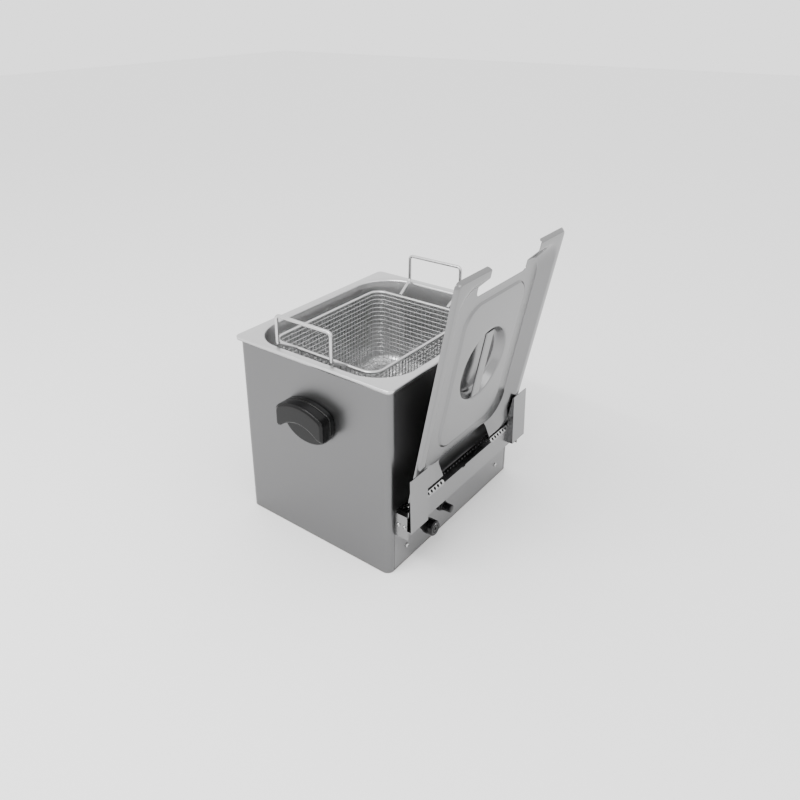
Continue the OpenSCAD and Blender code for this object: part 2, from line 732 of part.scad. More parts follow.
module igniter_nut() {
  color("black") translate([-igniter_x, front_y, control_z]) rotate([90, 0, 0]) difference() {
    cylinder(h = nut_t, d = nut_d);
    translate([0, 0, -1]) cylinder(h = nut_t + 2, d = button_d + 2 * run_clear);
  }
}

module igniter_body() {
  color("black") translate([-igniter_x, front_y + sheet, control_z]) rotate([-90, 0, 0]) difference() {
    cylinder(h = 42, d = nut_d + 3);
    translate([0, 0, -sheet]) cylinder(h = button_back + button_travel + 1, d = button_d + 2 * run_clear);
  }
}

// ---------- burner and gas train ----------

module ignition_lead() {
  color("white") bar_path([[-igniter_x, igniter_rear - 0.2, control_z], [-igniter_x, -32, control_z],
    [probe_x, -32, control_z], [probe_x, -32, burner_z - 6.1]], 3);
}

module spark_electrode() {
  color("white") {
    translate([probe_x, -32, burner_z - 6]) cylinder(h = 16, d = 6);
    translate([probe_x, -32, burner_z + 9.9]) cylinder(h = 6, d = 2);
  }
}

module thermocouple() {
  color("orange") {
    translate([probe_x, -12, burner_z - 6]) cylinder(h = 14, d = 5);
    translate([probe_x, -12, burner_z + 7.9]) cylinder(h = 9, d = 3);
  }
}

// Small plate on the left burner that carries the electrode and the thermocouple
module probe_bracket() {
  start = -burner_gap / 2 + burner_d / 2 - 1.2;
  color("gray") difference() {
    translate([start, -38, burner_z - 3.6]) cube([probe_x + 5 - start, 32, 1.2]);
    translate([probe_x, -32, burner_z - 6]) cylinder(h = 8, d = 6);
    translate([probe_x, -12, burner_z - 6]) cylinder(h = 8, d = 5);
  }
}

module thermocouple_lead() {
  color("orange") bar_path([[probe_x, -12, burner_z - 5.9], [probe_x, -12, control_z + 9],
    [-knob_x + 10, -12, control_z + 9], [-knob_x + 10, valve_rear - 0.2, control_z + 9]], 2.4);
}

module burner(s) {
  ports = 9;
  color("gray") translate([s * burner_gap / 2, 0, burner_z]) difference() {
    union() {
      rotate([90, 0, 0]) cylinder(h = burner_l, d = burner_d, center = true);
      translate([0, -burner_l / 2 + eps, 0]) rotate([90, 0, 0]) cylinder(h = 8, d1 = burner_d, d2 = 15);
    }
    translate([0, 2, 0]) rotate([90, 0, 0]) cylinder(h = burner_l - 8, d = burner_d - 3, center = true);
    translate([0, -burner_l / 2 - 10, 0]) rotate([-90, 0, 0]) cylinder(h = 20, d = 11);
    for (i = [0 : ports - 1]) translate([-4.5, (i - (ports - 1) / 2) * 17 - 2, 0]) cube([9, 4, burner_d]);
  }
}

module burner_left() burner(-1);
module burner_right() burner(1);

module burner_supports() {
  h = burner_z - burner_d / 2 - base_t;
  color("gray") for (s = [-1, 1], y = [-50, 55]) translate([s * burner_gap / 2, y, base_t]) {
    translate([-9, -0.75, 0]) cube([18, 1.5, h + 0.3]);
    translate([-9, -8, 0]) cube([18, 8, 1.5]);
  }
}

// Level pipe that feeds both injectors, with its feed from the valve's side
module gas_manifold() {
  feed_x = -knob_x + 29;
  feed_y = front_y + sheet + 22;
  color("goldenrod") {
    translate([-burner_gap / 2 - 14, manifold_y, manifold_z]) rotate([0, 90, 0])
      cylinder(h = burner_gap + 28, d = 12);
    bar_path([[feed_x - 6.2, feed_y, control_z], [feed_x, feed_y, control_z],
      [feed_x, manifold_y, control_z], [feed_x, manifold_y, manifold_z]], pipe_d);
  }
}

module gas_injectors() {
  h = burner_z - manifold_z - 5.7;
  color("gold") for (s = [-1, 1]) translate([s * burner_gap / 2, manifold_y, manifold_z + 5.7]) {
    cylinder(h = h + 5, d = 9);
    translate([0, 0, h]) rotate([-90, 0, 0]) cylinder(h = 12, d = 7);
  }
}

module gas_pipe() {
  across = -68;
  color("goldenrod") bar_path([[inlet_x, back_y - sheet - 9.8, inlet_z], [inlet_x, across, inlet_z],
    [-knob_x, across, inlet_z], [-knob_x, across, control_z],
    [-knob_x, valve_rear + 7.8, control_z]], pipe_d);
}

// Threaded inlet held in the back of the cabinet by its flange
module gas_inlet() {
  color("gold") translate([inlet_x, back_y, inlet_z]) rotate([-90, 0, 0]) difference() {
    union() {
      translate([0, 0, -sheet - 10]) cylinder(h = sheet + 10 + inlet_l, d = inlet_d);
      translate([0, 0, -sheet - 5]) cylinder(h = 5, d = 22, $fn = 6);
      cylinder(h = 4, d = 22, $fn = 6);
    }
    cylinder(h = inlet_l + 1, d = inlet_d - 5);
  }
}

// Sheet that keeps the burner's heat off one side of the cabinet
module heat_shield(s) {
  color("gray") {
    translate([s * (side_x - 14) - 0.5, -100, base_t]) cube([1, 200, 118 - base_t]);
    translate([s * (side_x - 9) - 6, -100, base_t]) cube([12, 200, 1]);
  }
}

module heat_shield_left() heat_shield(-1);
module heat_shield_right() heat_shield(1);

cabinet_shell();
base_plate();
front_panel();
panel_screws();
tank();
tank_brackets();
basket_rim();
basket_mesh();
basket_frame();
basket_handle_left();
basket_handle_right();
lid();
lid_grip_bar();
holder_trough();
holder_vent_strip();
holder_end_left();
holder_end_right();
holder_ear_left();
holder_ear_right();
holder_screws();
side_handle_left();
side_handle_right();
handle_screws();
handle_washers();
control_knob();
knob_indicator();
valve_spindle();
gas_valve();
igniter_button();
igniter_nut();
igniter_body();
ignition_lead();
spark_electrode();
thermocouple();
thermocouple_lead();
probe_bracket();
burner_left();
burner_right();
burner_supports();
gas_manifold();
gas_injectors();
gas_pipe();
gas_inlet();
heat_shield_left();
heat_shield_right();
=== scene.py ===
import bpy
import bmesh
from math import acos, atan2, cos, hypot, pi, radians, sin, sqrt, tan
from mathutils import Matrix, Vector


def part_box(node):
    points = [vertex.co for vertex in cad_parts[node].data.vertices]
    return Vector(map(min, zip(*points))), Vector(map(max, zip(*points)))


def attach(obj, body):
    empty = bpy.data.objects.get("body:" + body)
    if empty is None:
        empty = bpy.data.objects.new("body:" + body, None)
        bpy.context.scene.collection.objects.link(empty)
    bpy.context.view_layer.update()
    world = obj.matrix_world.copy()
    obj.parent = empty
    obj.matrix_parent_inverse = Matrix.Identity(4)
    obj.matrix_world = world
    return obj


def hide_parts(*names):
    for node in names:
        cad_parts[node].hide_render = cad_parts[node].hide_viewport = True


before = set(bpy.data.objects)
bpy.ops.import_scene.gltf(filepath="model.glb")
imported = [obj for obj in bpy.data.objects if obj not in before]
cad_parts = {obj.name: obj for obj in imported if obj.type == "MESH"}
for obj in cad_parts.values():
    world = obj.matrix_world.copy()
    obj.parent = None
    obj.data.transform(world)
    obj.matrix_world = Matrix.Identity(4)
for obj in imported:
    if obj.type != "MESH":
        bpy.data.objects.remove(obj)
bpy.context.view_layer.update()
MM = 0.001

# Camera. It stands to the left of the fryer's front, well above the rim, and looks down at it the way
# someone at the worktop does.
camera_data = bpy.data.cameras.new("camera")
camera = bpy.data.objects.new("camera", camera_data)
bpy.context.scene.collection.objects.link(camera)
bpy.context.scene.camera = camera
look = Vector((0.7103, 0.5666, -0.4177)).normalized()
right = Vector((0.6199, -0.7846, -0.0100))
right = (right - look * right.dot(look)).normalized()
up = right.cross(look)
stand = Vector((-0.7723, -0.5862, 0.6992))
camera.matrix_world = Matrix((
    (right.x, up.x, -look.x, stand.x),
    (right.y, up.y, -look.y, stand.y),
    (right.z, up.z, -look.z, stand.z),
    (0, 0, 0, 1),
))
camera_data.sensor_width = 36
camera_data.lens = 33.68
camera_data.shift_x = 0.0405
camera_data.shift_y = -0.0791
camera_data.clip_start = 0.01

# Floor and studio light. A pale floor and a white surround, a large soft box from the upper left, a weaker
# one from the front, and a narrow strip light on the left that draws the highlights.
bpy.ops.mesh.primitive_plane_add(size=14, location=(0, 0, -0.0005))
floor = bpy.context.object
floor.name = "floor"
floor_paint = bpy.data.materials.new("floor_paint")
floor_paint.use_nodes = True
floor_shader = floor_paint.node_tree.nodes["Principled BSDF"]
floor_shader.inputs["Base Color"].default_value = (0.9, 0.9, 0.9, 1)
floor_shader.inputs["Roughness"].default_value = 0.8
floor.data.materials.append(floor_paint)

world = bpy.data.worlds.new("studio")
bpy.context.scene.world = world
world.use_nodes = True
world.node_tree.nodes["Background"].inputs["Color"].default_value = (1, 1, 1, 1)
world.node_tree.nodes["Background"].inputs["Strength"].default_value = 1.9


def soft_box(name, place, target, size, power):
    light = bpy.data.lights.new(name, "AREA")
    light.shape = "RECTANGLE"
    light.size = size[0]
    light.size_y = size[1]
    light.energy = power
    lamp = bpy.data.objects.new(name, light)
    bpy.context.scene.collection.objects.link(lamp)
    lamp.location = place
    aim = Vector(target) - Vector(place)
    lamp.rotation_euler = aim.to_track_quat("-Z", "Y").to_euler()
    lamp.visible_camera = False


soft_box("soft_box_left", (-1.6, 0.3, 1.9), (0, 0, 0.15), (1.2, 1.2), 14)
soft_box("soft_box_front", (-0.2, -2.2, 1.6), (0, 0, 0.2), (1.6, 1.0), 12)
soft_box("strip_light_left", (-1.1, 0.1, 1.5), (-0.15, 0, 0.2), (1.6, 0.08), 22)


# Cabinet. One sheet of satin stainless steel folded to a box with rounded upright corners; its grain runs
# level. The base plate and the heat shields are the same sheet, left unpolished.
def join(tree, *links):
    """Link sockets of a node tree: each link is (from node, output, to node, input)."""
    for source, output, target, entry in links:
        tree.links.new(source.outputs[output], target.inputs[entry])


def steel(name, tint, rough, grain=(3, 3, 320), relief=0.02, cloud=0.05):
    """Brushed steel: metal with fine lines along the grain and faint cloudy wear."""
    m = bpy.data.materials.new(name)
    m.use_nodes = True
    tree = m.node_tree
    shader = tree.nodes["Principled BSDF"]
    shader.inputs["Metallic"].default_value = 1.0
    place = tree.nodes.new("ShaderNodeTexCoord")
    stretch = tree.nodes.new("ShaderNodeMapping")
    stretch.inputs["Scale"].default_value = grain
    lines = tree.nodes.new("ShaderNodeTexNoise")
    lines.inputs["Scale"].default_value = 6
    lines.inputs["Detail"].default_value = 5
    lines.inputs["Roughness"].default_value = 0.65
    smear = tree.nodes.new("ShaderNodeTexNoise")
    smear.inputs["Scale"].default_value = 9
    smear.inputs["Detail"].default_value = 3
    shade = tree.nodes.new("ShaderNodeValToRGB")
    shade.color_ramp.elements[0].position = 0.3
    shade.color_ramp.elements[1].position = 0.7
    dark = [c * (1 - cloud) for c in tint]
    shade.color_ramp.elements[0].color = (*dark, 1)
    shade.color_ramp.elements[1].color = (*tint, 1)
    blend = tree.nodes.new("ShaderNodeMath")
    blend.operation = "ADD"
    halve = tree.nodes.new("ShaderNodeMath")
    halve.operation = "MULTIPLY"
    halve.inputs[1].default_value = 0.5
    sheen = tree.nodes.new("ShaderNodeMapRange")
    sheen.inputs["To Min"].default_value = max(rough - 0.06, 0.03)
    sheen.inputs["To Max"].default_value = rough + 0.06
    bump = tree.nodes.new("ShaderNodeBump")
    bump.inputs["Strength"].default_value = relief
    bump.inputs["Distance"].default_value = 0.0004
    join(tree, (place, "Object", stretch, "Vector"), (stretch, "Vector", lines, "Vector"),
         (place, "Object", smear, "Vector"), (lines, "Fac", blend, 0), (smear, "Fac", blend, 1),
         (blend, 0, halve, 0), (halve, 0, shade, "Fac"), (shade, "Color", shader, "Base Color"),
         (halve, 0, sheen, "Value"), (sheen, "Result", shader, "Roughness"),
         (lines, "Fac", bump, "Height"), (bump, "Normal", shader, "Normal"))
    return m


def paint(piece, material):
    piece.data.materials.clear()
    piece.data.materials.append(material)
    for face in piece.data.polygons:
        face.material_index = 0


satin_steel = steel("satin_steel", (0.155, 0.155, 0.157), 0.36)
dull_steel = steel("dull_steel", (0.22, 0.215, 0.21), 0.5, cloud=0.3)
front_steel = steel("front_steel", (0.20, 0.20, 0.202), 0.25, grain=(3, 3, 300))
paint(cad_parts["cabinet_shell"], satin_steel)
for node in ("base_plate", "heat_shield_left", "heat_shield_right", "tank_brackets"):
    paint(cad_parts[node], dull_steel)
paint(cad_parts["front_panel"], front_steel)


# Tank. A half-size gastronorm container pressed from one sheet: flat rim with a turned-down lip, a rolled
# mouth, drafted walls and a rounded floor. It hangs in the cabinet by its rim.
sheet_steps = 480
least_corner = 5


def placed(name, data):
    """An object at the origin that shows a mesh."""
    piece = bpy.data.objects.new(name, data)
    bpy.context.scene.collection.objects.link(piece)
    return piece


def solid(name, mesh):
    """The object made of a finished bmesh, with its faces turned outwards."""
    bmesh.ops.recalc_face_normals(mesh, faces=mesh.faces)
    data = bpy.data.meshes.new(name)
    mesh.to_mesh(data)
    mesh.free()
    return placed(name, data)


def bridge(mesh, loops):
    """Four-sided faces between each loop of points and the next."""
    for low, high in zip(loops, loops[1:]):
        for i in range(len(low)):
            k = (i + 1) % len(low)
            mesh.faces.new((low[i], low[k], high[k], high[i]))


def ring_point(half_x, half_y, corner, angle):
    """Where a ray from the middle meets a rectangle with round corners."""
    c, s = cos(angle), sin(angle)
    reach = min(half_x / max(abs(c), 1e-9), half_y / max(abs(s), 1e-9))
    x, y = reach * abs(c), reach * abs(s)
    corner = min(corner, half_x - 1e-4, half_y - 1e-4)
    mid_x, mid_y = half_x - corner, half_y - corner
    if x > mid_x and y > mid_y:
        along = abs(c) * mid_x + abs(s) * mid_y
        reach = along + sqrt(max(along ** 2 - (mid_x ** 2 + mid_y ** 2 - corner ** 2), 0))
        x, y = reach * abs(c), reach * abs(s)
    return (x if c >= 0 else -x), (y if s >= 0 else -y)


def pressed_sheet(name, rings, place=lambda x, y, z: (x, y, z)):
    """A closed sheet through rings of (half width, half length, corner, height, shift along), capped."""
    mesh = bmesh.new()
    loops = []
    for half_x, half_y, corner, z, *shift in rings:
        loop = []
        for i in range(sheet_steps):
            x, y = ring_point(half_x, half_y, corner, 2 * pi * (i + 0.5) / sheet_steps)
            loop.append(mesh.verts.new(Vector(place(x, y + sum(shift), z)) * MM))
        loops.append(loop)
    bridge(mesh, loops)
    for loop in (loops[0], loops[-1]):
        middle = mesh.verts.new(sum((v.co for v in loop), Vector()) / sheet_steps)
        for i in range(sheet_steps):
            mesh.faces.new((loop[i], loop[(i + 1) % sheet_steps], middle))
    piece = solid(name, mesh)
    for face in piece.data.polygons:
        face.use_smooth = True
    return piece


def side_walls(profile, thick):
    """A sheet's outline, offset by its thickness on the lower side, from a list of (inset, height) points."""
    under = []
    for i, (a, z) in enumerate(profile):
        before = profile[max(i - 1, 0)]
        after = profile[min(i + 1, len(profile) - 1)]
        run, rise = after[0] - before[0], after[1] - before[1]
        length = hypot(run, rise)
        under.append((a + rise / length * thick, z - run / length * thick))
    return under


def rounded_corner(before, corner, after, radius, steps=5):
    """Points of an arc that rounds the bend of a profile at corner."""
    a = Vector(before) - Vector(corner)
    b = Vector(after) - Vector(corner)
    a.normalize()
    b.normalize()
    half = acos(max(-1, min(1, a.dot(b)))) / 2
    back = radius / tan(half)
    centre = Vector(corner) + (a + b).normalized() * radius / sin(half)
    start = Vector(corner) + a * back - centre
    end = Vector(corner) + b * back - centre
    turn = atan2(start.x * end.y - start.y * end.x, start.dot(end))
    points = []
    for i in range(steps + 1):
        c, s = cos(turn * i / steps), sin(turn * i / steps)
        points.append((centre.x + start.x * c - start.y * s, centre.y + start.x * s + start.y * c))
    return points


def bent_profile(corners):
    """A sheet's profile: corners are (inset, height, bend radius)."""
    points = [corners[0][:2]]
    for before, (a, z, radius), after in zip(corners, corners[1:], corners[2:]):
        points += rounded_corner(before[:2], (a, z), after[:2], radius)
    points.append(corners[-1][:2])
    return points


tank_low, tank_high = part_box("tank")
rim_x = tank_high.x / MM
rim_y = tank_high.y / MM
rim_z = tank_high.z / MM
tank_floor = tank_low.z / MM
rim_lip = 4.8
rim_flat = 12.5
tank_sheet = 1.0
rim_corner = 8
mouth_corner = 58
mouth_draft = 2
lip_bend, mouth_bend, tank_floor_bend = 1.6, 4.0, 23
floor_reach = 70
opening_start, opening_width = 2.5, 7
tank_profile = bent_profile([
    (0.0, rim_z - rim_lip, 0),
    (0.0, rim_z, lip_bend),
    (rim_flat, rim_z, mouth_bend),
    (rim_flat + mouth_draft, tank_floor + tank_sheet, tank_floor_bend),
    (rim_flat + mouth_draft + floor_reach, tank_floor + tank_sheet, 0),
])


def tank_ring(inset, z):
    """A ring of the tank: its corners open from the rim's small ones to the mouth's wide ones."""
    blend = min(max((inset - opening_start) / opening_width, 0), 1)
    corner = (rim_corner - inset) * (1 - blend) + (mouth_corner - max(inset - rim_flat, 0)) * blend
    return (rim_x - inset, rim_y - inset, max(corner, least_corner), z)


tank_top = [tank_ring(a, z) for a, z in tank_profile]
tank_under = [tank_ring(a, z) for a, z in side_walls(tank_profile, tank_sheet)]
tank = pressed_sheet("tank_pressing", tank_top[::-1] + tank_under)
tank_steel = steel("tank_steel", (0.56, 0.56, 0.563), 0.3, grain=(40, 40, 40), relief=0.01)
paint(tank, tank_steel)
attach(tank, "fryer")
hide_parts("tank")


# Basket. Nickel-plated wire, spot welded: a heavy rim wire, a cage of thin hoops crossed by thin stays with a
# rounded floor edge, two bows under it, and a fixed loop handle at each end that reaches over the tank's rim.
def socket(tree, name, kind, way="INPUT"):
    """The identifier of a new socket on a node tree's interface."""
    return tree.interface.new_socket(name, in_out=way, socket_type="NodeSocket" + kind).identifier


wire_tree = bpy.data.node_groups.new("drawn_wire", "GeometryNodeTree")
socket(wire_tree, "Route", "Geometry")
wire_radius_input = socket(wire_tree, "Wire Radius", "Float")
wire_sides_input = socket(wire_tree, "Sides", "Int")
wire_finish_input = socket(wire_tree, "Finish", "Material")
socket(wire_tree, "Wire", "Geometry", "OUTPUT")
wire_in = wire_tree.nodes.new("NodeGroupInput")
wire_out = wire_tree.nodes.new("NodeGroupOutput")
to_curve = wire_tree.nodes.new("GeometryNodeMeshToCurve")
section = wire_tree.nodes.new("GeometryNodeCurvePrimitiveCircle")
sweep = wire_tree.nodes.new("GeometryNodeCurveToMesh")
sweep.inputs["Fill Caps"].default_value = True
soften = wire_tree.nodes.new("GeometryNodeSetShadeSmooth")
realize = wire_tree.nodes.new("GeometryNodeRealizeInstances")
coat = wire_tree.nodes.new("GeometryNodeSetMaterial")
join(wire_tree, (wire_in, "Route", to_curve, "Mesh"), (wire_in, "Wire Radius", section, "Radius"),
     (wire_in, "Sides", section, "Resolution"), (to_curve, "Curve", sweep, "Curve"),
     (section, "Curve", sweep, "Profile Curve"), (sweep, "Mesh", soften, "Geometry"),
     (soften, "Geometry", realize, "Geometry"), (realize, "Geometry", coat, "Geometry"),
     (wire_in, "Finish", coat, "Material"), (coat, "Geometry", wire_out, "Wire"))


def baked(piece, name):
    """The piece with its modifiers turned into a plain mesh."""
    bpy.context.view_layer.update()
    shown = piece.evaluated_get(bpy.context.evaluated_depsgraph_get())
    data = bpy.data.meshes.new_from_object(shown)
    bpy.data.objects.remove(piece)
    data.name = name
    return placed(name, data)


def drawn_wires(name, routes, radius, sides, finish):
    """One piece of wires from routes of points in millimetres; one that ends where it starts is closed."""
    points, edges = [], []
    for route in routes:
        closed = (Vector(route[0]) - Vector(route[-1])).length < 1e-6
        if closed:
            route = route[:-1]
        first = len(points)
        points += [Vector(p) * MM for p in route]
        edges += [(first + i, first + i + 1) for i in range(len(route) - 1)]
        if closed:
            edges.append((len(points) - 1, first))
    data = bpy.data.meshes.new(name)
    data.from_pydata(points, edges, [])
    piece = placed(name, data)
    draw = piece.modifiers.new("draw", "NODES")
    draw.node_group = wire_tree
    draw[wire_radius_input] = radius * MM
    draw[wire_sides_input] = sides
    draw[wire_finish_input] = finish
    return baked(piece, name)


def bent_route(points, radius, steps=6):
    """A route in space with its inner corners rounded."""
    points = [Vector(p) for p in points]
    route = [points[0]]
    for before, corner, after in zip(points, points[1:], points[2:]):
        a = (before - corner).normalized()
        b = (after - corner).normalized()
        half = acos(max(-1, min(1, a.dot(b)))) / 2
        back = radius / tan(half)
        centre = corner + (a + b).normalized() * radius / sin(half)
        start = corner + a * back - centre
        end = corner + b * back - centre
        swing = start.angle(end)
        for i in range(steps + 1):
            f = i / steps
            route.append(centre + (start * sin((1 - f) * swing) + end * sin(f * swing)) / sin(swing))
    route.append(points[-1])
    return route


def round_loop(half_x, half_y, corner, centre_y, z, steps=8):
    """A level loop round a rectangle with round corners."""
    loop = []
    for quarter, (sx, sy) in enumerate(((1, 1), (-1, 1), (-1, -1), (1, -1))):
        for i in range(steps + 1):
            a = pi / 2 * (quarter + i / steps)
            x = sx * (half_x - corner) + corner * cos(a)
            y = centre_y + sy * (half_y - corner) + corner * sin(a)
            loop.append((x, y, z))
    loop.append(loop[0])
    return loop


plated_wire = steel("plated_wire", (0.55, 0.55, 0.55), 0.3, grain=(60, 60, 60), relief=0.005)
basket_low, basket_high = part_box("basket_rim")
rim_wire = 2.3
basket_y = (basket_low.y + basket_high.y) / 2 / MM
basket_x_half = basket_high.x / MM - rim_wire
basket_y_half = (basket_high.y - basket_low.y) / 2 / MM - rim_wire
basket_rim_z = (basket_low.z + basket_high.z) / 2 / MM
basket_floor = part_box("basket_mesh")[0].z / MM
basket_corner = 19.7
rim_loop = round_loop(basket_x_half, basket_y_half, basket_corner, basket_y, basket_rim_z, 12)
rim = drawn_wires("basket_rim_wire", [rim_loop], rim_wire, 16, plated_wire)
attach(rim, "basket")
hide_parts("basket_rim")

mesh_pitch = 7.0
hoop_wire = 0.62
stay_wire = 0.62
weld_bite = 0.3
weld_depth = 0.15
floor_lift = 1.2
top_drop = 0.4
first_hoop = 0.6
floor_bend = 15
bend_hoops = (20, 48, 76)
corner_stays = 4
corner_bend = (0, 25, 50, 75, 90)
corner_lift = 0.3
cage_x = basket_x_half - rim_wire - hoop_wire + weld_bite
cage_y = basket_y_half - rim_wire - hoop_wire + weld_bite
cage_corner = basket_corner - rim_wire - hoop_wire + weld_bite
cage_floor = basket_floor + floor_lift
cage_top = basket_rim_z - top_drop
hoops = []
z = cage_top - mesh_pitch * first_hoop
while z > cage_floor + floor_bend:
    hoops.append(round_loop(cage_x, cage_y, cage_corner, basket_y, z))
    z -= mesh_pitch
for a in bend_hoops:
    inset = floor_bend * (1 - cos(radians(a)))
    hoops.append(round_loop(cage_x - inset, cage_y - inset, cage_corner - inset, basket_y,
                            cage_floor + floor_bend * (1 - sin(radians(a)))))
stays = []
out = hoop_wire + stay_wire - weld_depth
long_straight = cage_x - cage_corner
short_straight = cage_y - cage_corner
n_long = int(long_straight / mesh_pitch)
n_short = int(short_straight / mesh_pitch)
for i in range(-n_long, n_long + 1):
    x = i * mesh_pitch
    y = cage_y + out
    stays.append(bent_route([(x, basket_y - y, cage_top), (x, basket_y - y, cage_floor - out),
                             (x, basket_y + y, cage_floor - out), (x, basket_y + y, cage_top)],
                            floor_bend + out))
for i in range(-n_short, n_short + 1):
    y = basket_y + i * mesh_pitch
    x = cage_x + out
    stays.append(bent_route([(-x, y, cage_top), (-x, y, cage_floor), (x, y, cage_floor), (x, y, cage_top)],
                            floor_bend + out))
for sx in (-1, 1):
    for sy in (-1, 1):
        for i in range(corner_stays):
            a = pi / 2 * (i + 0.5) / corner_stays
            ox, oy = sx * cos(a), sy * sin(a)
            foot = []
            for b in corner_bend:
                reach = cage_corner + out - (floor_bend + out) * (1 - cos(radians(b)))
                foot.append((sx * long_straight + ox * reach, basket_y + sy * short_straight + oy * reach,
                             cage_floor + floor_bend - (floor_bend + out) * sin(radians(b)) + corner_lift))
            stays.append([(foot[0][0], foot[0][1], cage_top)] + foot)
cage_hoops = drawn_wires("basket_cage_hoops", hoops, hoop_wire, 6, plated_wire)
cage_stays = drawn_wires("basket_cage_stays", stays, stay_wire, 6, plated_wire)
for piece in (cage_hoops, cage_stays):
    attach(piece, "basket")
    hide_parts("basket_mesh")

bow_wire = 1.5
bow_bend = 14
bow_apart = 35
bow_outside = 0.3
bow_x = basket_x_half + bow_outside
bow_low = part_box("basket_frame")[0].z / MM + bow_wire
bow_top = basket_rim_z - 1
bows = [bent_route([(-bow_x, basket_y + y, bow_top), (-bow_x, basket_y + y, bow_low),
                    (bow_x, basket_y + y, bow_low), (bow_x, basket_y + y, bow_top)], bow_bend)
        for y in (-bow_apart, bow_apart)]
frame_bows = drawn_wires("basket_bows", bows, bow_wire, 12, plated_wire)
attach(frame_bows, "basket")
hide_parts("basket_frame")

handle_wire = 2.5
handle_bend = 5.5
handle_knee_gap = 0.6
handle_foot_out, handle_foot_up, handle_foot_in = 2.6, 1.6, 3
for side, node in ((-1, "basket_handle_left"), (1, "basket_handle_right")):
    low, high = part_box(node)
    stand_x = side * (max(abs(low.x), abs(high.x)) / MM - handle_wire)
    near, far = low.y / MM + handle_wire, high.y / MM - handle_wire
    grip_z = high.z / MM - handle_wire
    knee_z = rim_z + handle_wire + handle_knee_gap
    foot_x = side * (basket_x_half + handle_foot_out)
    foot_z = basket_rim_z + handle_foot_up
    legs = bent_route([(foot_x, near + handle_foot_in, foot_z), (stand_x, near, knee_z),
                       (stand_x, near, grip_z), (stand_x, far, grip_z), (stand_x, far, knee_z),
                       (foot_x, far - handle_foot_in, foot_z)], handle_bend, 9)
    loop = drawn_wires(node + "_wire", [legs], handle_wire, 16, plated_wire)
    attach(loop, "basket")
    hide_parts(node)


# Lid. A pressed half-size gastronorm lid with a notch at each end for the basket's handles, a raised panel
# and a round hand recess with a flat bar across it. It stands in the front holder, leaning outwards.
lid_lean = radians(10.3)
lid_low, lid_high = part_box("lid")
lid_half_w, lid_half_l = 132.5, 162.5
lid_sheet = 0.9
lid_lip_h = 5.5
lid_lip_w = 3.5
lid_middle_x = (lid_low.x + lid_high.x) / 2 / MM
lid_foot_z = lid_low.z / MM - lid_lip_h * sin(lid_lean)
lid_foot_y = lid_low.y / MM + (2 * lid_half_l - lid_lip_w) * sin(lid_lean)
lid_panel_shift = -2.75
lid_panel_w, lid_panel_l = 73, 103.5 - lid_panel_shift
lid_channel_z = -12
lid_panel_z = -9.8
recess_floor = lid_panel_z - 12


def on_lid(x, y, z):
    """From the lid lying flat, centred, top side up, to where it stands in the holder."""
    along = y + lid_half_l
    return (lid_middle_x + x, lid_foot_y - along * sin(lid_lean) - z * cos(lid_lean),
            lid_foot_z + along * cos(lid_lean) - z * sin(lid_lean))


edge_profile = bent_profile([(0, lid_sheet - lid_lip_h, 0), (3.4, 0, 2.0), (14, 0, 5),
                             (31, lid_channel_z, 5), (40, lid_channel_z, 0)])
step_profile = bent_profile([(-8, lid_channel_z, 0), (-3.2, lid_channel_z, 2.2),
                             (0, lid_panel_z, 2.2), (7, lid_panel_z, 0)])
recess_profile = bent_profile([(60, lid_panel_z, 0), (53, lid_panel_z, 3.2), (46.5, recess_floor, 6),
                               (34, recess_floor, 30), (8, recess_floor + 0.8, 0)])
lid_corner, channel_corner, panel_corner = 7, 36, 30
lip_end, corner_run, channel_end = 4, 14, 34.5


def lid_edge_ring(inset, z):
    """A ring of the lid's border: its corners open from the lip's small ones to the channel's wide ones."""
    corner = lid_corner - inset
    if inset >= lip_end:
        corner = least_corner + (channel_corner - least_corner) * min((inset - lip_end) / corner_run, 1)
    return (lid_half_w - inset, lid_half_l - inset, max(corner, least_corner), z, 0)


lid_top = [lid_edge_ring(a, z) for a, z in edge_profile if a <= channel_end]
lid_top += [(lid_panel_w - a, lid_panel_l - a, panel_corner - a, z, lid_panel_shift) for a, z in step_profile]
lid_top += [(r, r, r, z, 0) for r, z in recess_profile]
lid_under = [(x, y, c, z - lid_sheet, shift) for x, y, c, z, shift in lid_top]
lid = pressed_sheet("lid_pressing", lid_top[::-1] + lid_under, on_lid)
notch_half = 61
notch_floor_round, notch_mouth_round = 7, 5
notch_overshoot = 12
upper_notch_depth, lower_notch_depth = 45, 34
cutter_low, cutter_high = -40, 20


def notch_outline(floor_y, edge_y, toward):
    """Outline of a notch cutter: round floor corners and rounded shoulders at its mouth."""
    bends = [pi / 2 * i / 6 for i in range(7)]
    points = []
    for side in (-1, 1):
        part = [(side * (notch_half + notch_mouth_round), edge_y + toward * notch_overshoot)]
        for a in bends:
            x = notch_half + notch_mouth_round - notch_mouth_round * sin(a)
            part.append((side * x, edge_y - toward * (notch_mouth_round - notch_mouth_round * cos(a))))
        for a in bends:
            x = notch_half - notch_floor_round + notch_floor_round * cos(a)
            part.append((side * x, floor_y + toward * (notch_floor_round - notch_floor_round * sin(a))))
        points += part if side < 0 else part[::-1]
    return points


def prism(name, outline, low, high, place):
    """A straight-sided solid over an outline."""
    mesh = bmesh.new()
    bottom = [mesh.verts.new(Vector(place(x, y, low)) * MM) for x, y in outline]
    top = [mesh.verts.new(Vector(place(x, y, high)) * MM) for x, y in outline]
    mesh.faces.new(bottom)
    mesh.faces.new(top[::-1])
    for i in range(len(outline)):
        k = (i + 1) % len(outline)
        mesh.faces.new((bottom[k], bottom[i], top[i], top[k]))
    return solid(name, mesh)


